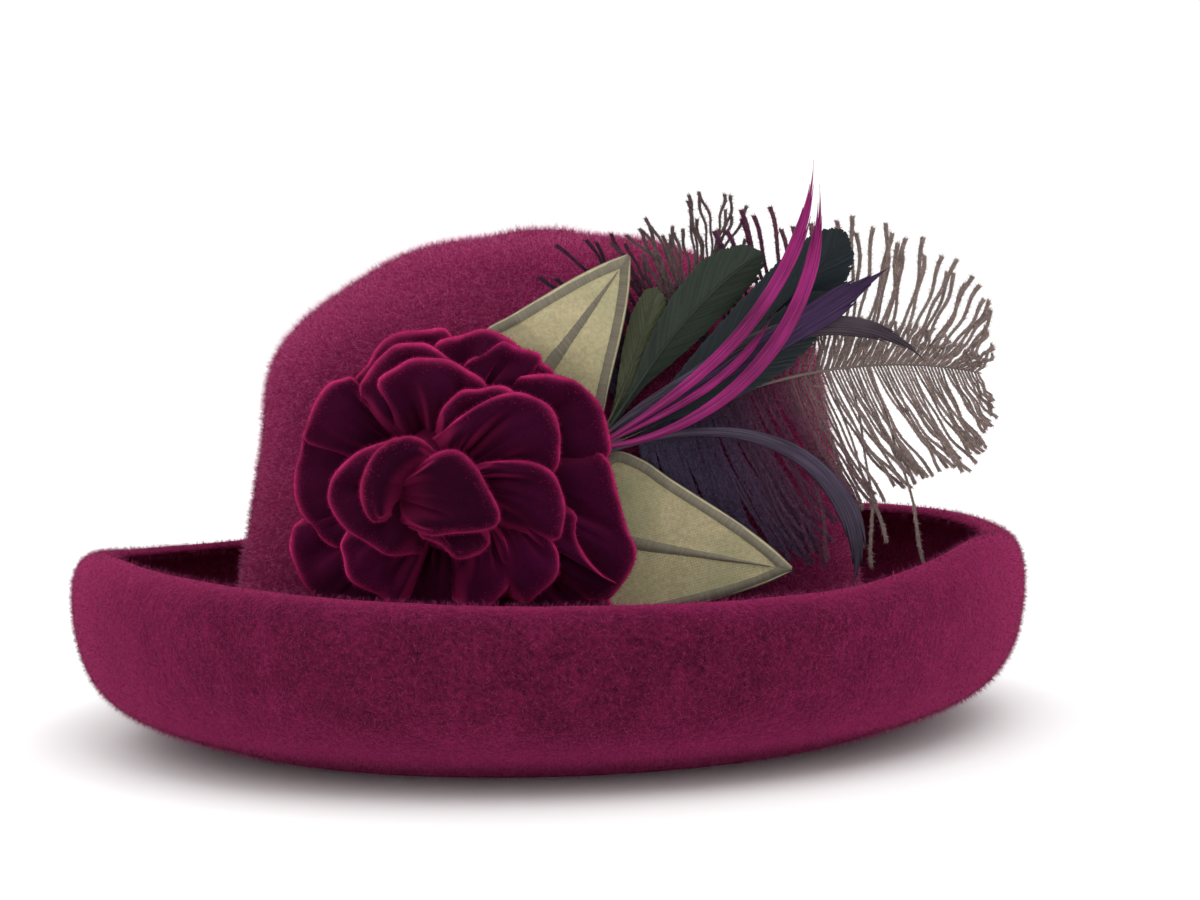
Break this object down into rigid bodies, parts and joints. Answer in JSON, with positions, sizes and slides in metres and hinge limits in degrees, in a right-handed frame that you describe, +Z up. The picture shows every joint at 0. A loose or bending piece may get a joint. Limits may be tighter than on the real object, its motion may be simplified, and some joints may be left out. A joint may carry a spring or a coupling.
{
  "type": "cloche hat",
  "caption": "Wool felt cloche hat with a deep rolled-up brim, trimmed with a folded velvet ribbon rose, stitched cloth leaves and a feather spray.",
  "frame": {"origin": "centre of the oval brim on the plane that the hat rests on", "axes": "+Z up out of the crown's top, +X along the long way of the oval head and brim, the trimmed side faces -Y"},
  "size_m": [0.3254, 0.2914, 0.1904],
  "materials": {
    "felt": "matte brushed wool felt",
    "velvet": "cut pile velvet",
    "leaf_cloth": "matte woven cloth",
    "thread": "wound thread",
    "magenta": "dyed feather, satin",
    "purple": "dyed feather, satin",
    "slate": "dyed feather, satin",
    "coque_dark": "glossy cock feather",
    "coque_green": "glossy cock feather",
    "coque_olive": "satin cock feather",
    "ostrich": "soft ostrich barbs"
  },
  "bodies": {
    "root": {"felt_hat": "felt", "velvet_rose": "velvet", "leaf_upper": "leaf_cloth", "leaf_lower": "leaf_cloth", "spray_binding": "thread", "magenta_quill_a": "magenta", "magenta_quill_b": "magenta", "magenta_quill_c": "magenta", "slate_quill_upper": "slate", "slate_quill_drooping": "slate", "purple_quill": "purple", "dark_quill_drooping": "purple", "teal_feather": "coque_dark", "dark_feather": "coque_dark", "green_feather": "coque_green", "olive_feather": "coque_olive", "ostrich_plume_right": "ostrich", "ostrich_plume_upper": "ostrich"}
  },
  "joints": []
}
